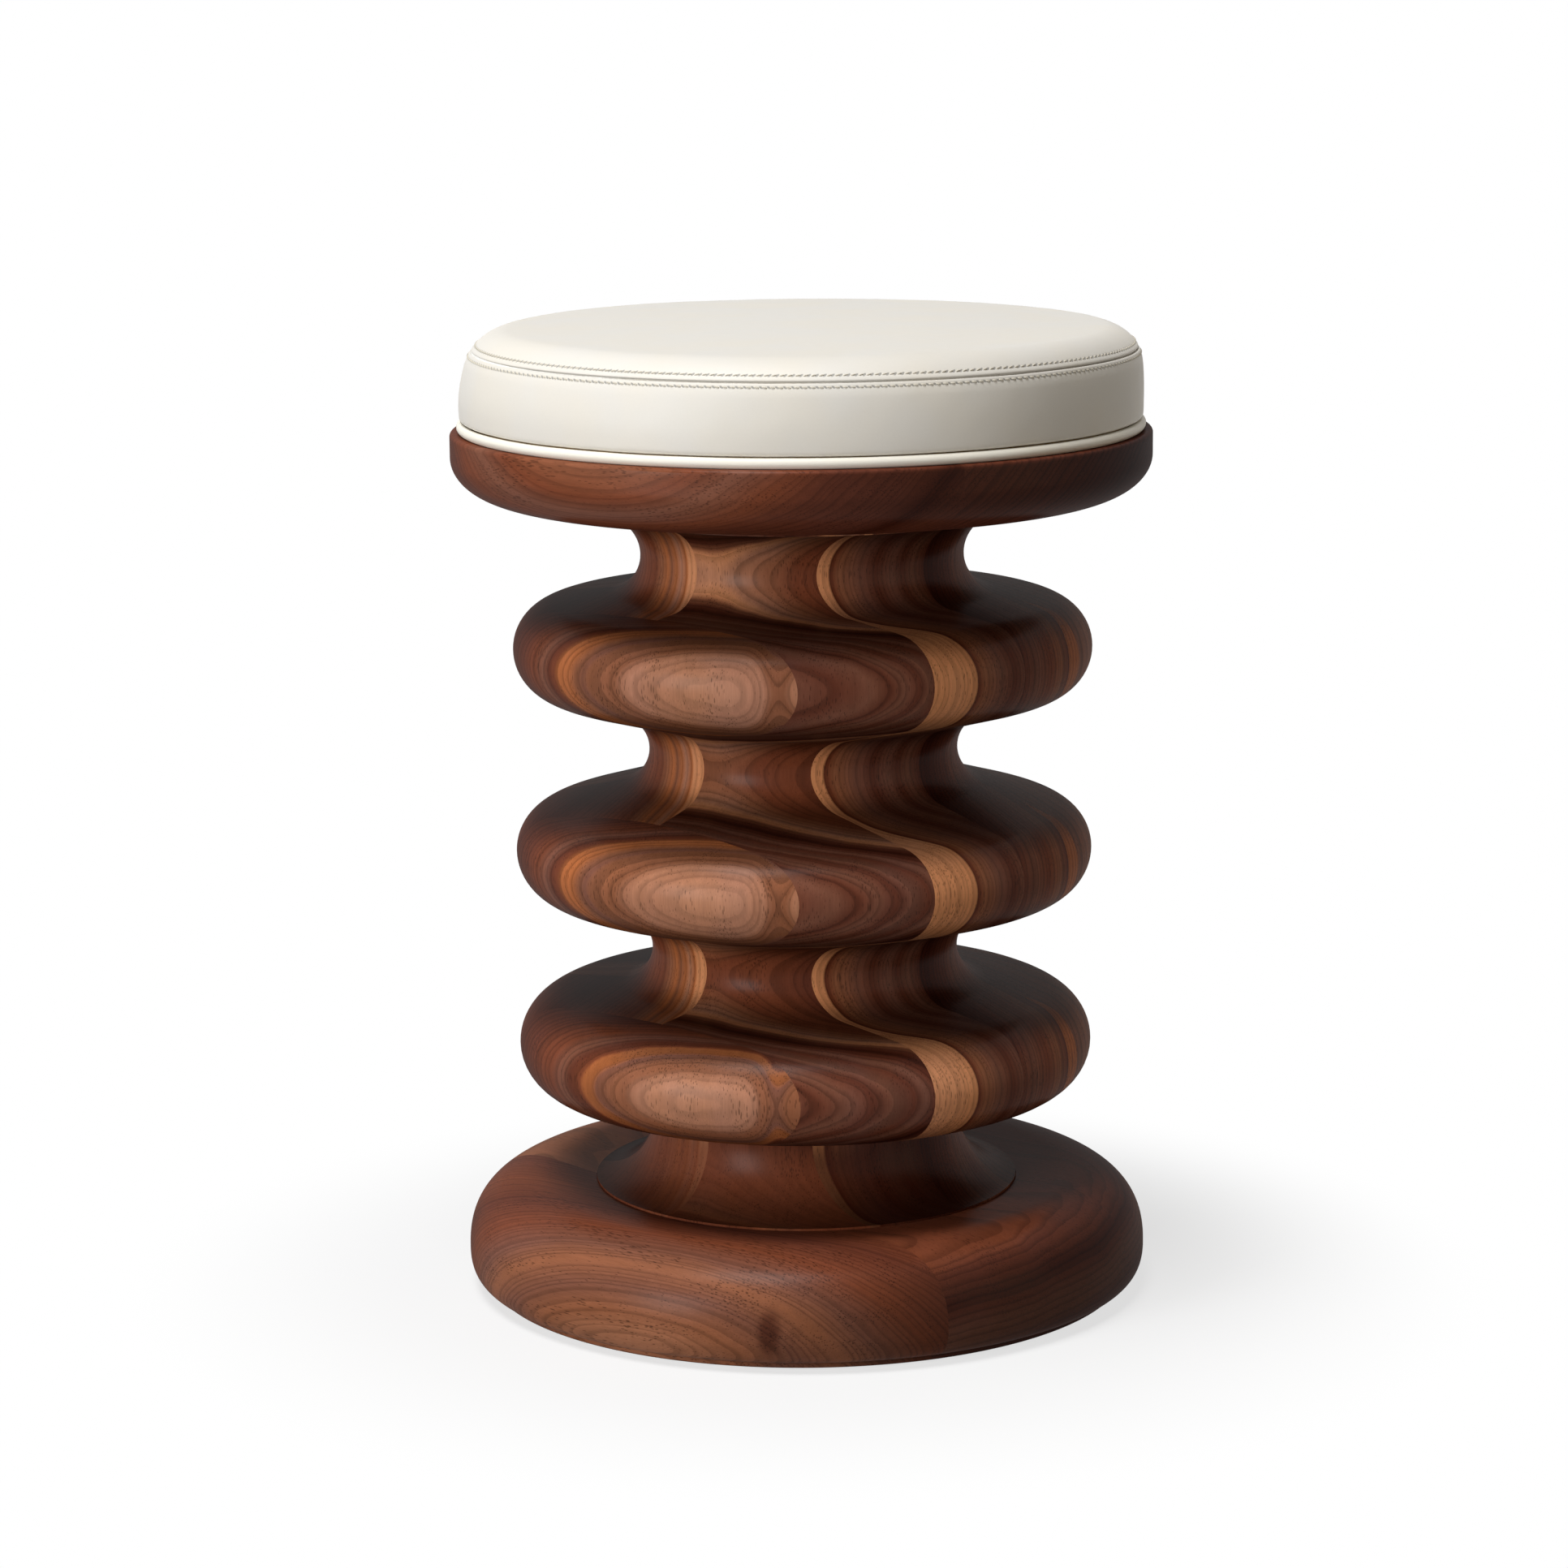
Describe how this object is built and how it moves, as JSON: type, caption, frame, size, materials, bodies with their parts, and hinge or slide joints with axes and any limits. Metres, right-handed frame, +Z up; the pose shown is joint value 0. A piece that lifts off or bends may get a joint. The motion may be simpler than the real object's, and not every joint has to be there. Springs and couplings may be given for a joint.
{
  "type": "turned wooden stool",
  "caption": "Low round stool with a disc-and-cove turned walnut column, a broad round base and a round leather cushion in a dish-shaped seat.",
  "frame": {"origin": "on the floor, at the middle of the base", "axes": "+Z up along the turning axis; -Y towards the viewer of the picture, +X to the viewer's right"},
  "size_m": [0.33, 0.33, 0.4637],
  "materials": {
    "walnut": "oiled, satin",
    "walnut_sapwood": "oiled, satin",
    "plywood": "raw, sanded",
    "leather": "smooth, matt",
    "welt_leather": "smooth, matt",
    "welt_cord": "twisted cotton",
    "foam": "open-cell foam",
    "wadding": "soft polyester fibre",
    "dust_cloth": "thin black non-woven cloth",
    "felt": "pressed wool felt",
    "steel": "zinc plated"
  },
  "bodies": {
    "root": {"base_board_front": "walnut", "base_board_middle": "walnut", "base_board_rear": "walnut", "felt_pads": "felt", "lag_bolts": "steel", "lag_washers": "steel", "front_cap_lower": "walnut", "front_cap_middle": "walnut", "front_cap_upper": "walnut", "front_stave_left": "walnut", "front_stave_right": "walnut", "heart_stave_front": "walnut_sapwood", "heart_stave_rear": "walnut", "rear_stave": "walnut", "rear_cap_lower": "walnut", "rear_cap_middle": "walnut", "rear_cap_upper": "walnut", "dish_board_front": "walnut", "dish_board_middle": "walnut", "dish_board_rear": "walnut", "dish_screws": "steel", "seat_board": "plywood", "tee_nuts": "steel", "seat_bolts": "steel", "foam_pad": "foam", "wadding": "wadding", "top_panel": "leather", "side_band": "leather", "welt_cover": "welt_leather", "welt_cord": "welt_cord", "dust_cover": "dust_cloth"}
  },
  "joints": []
}
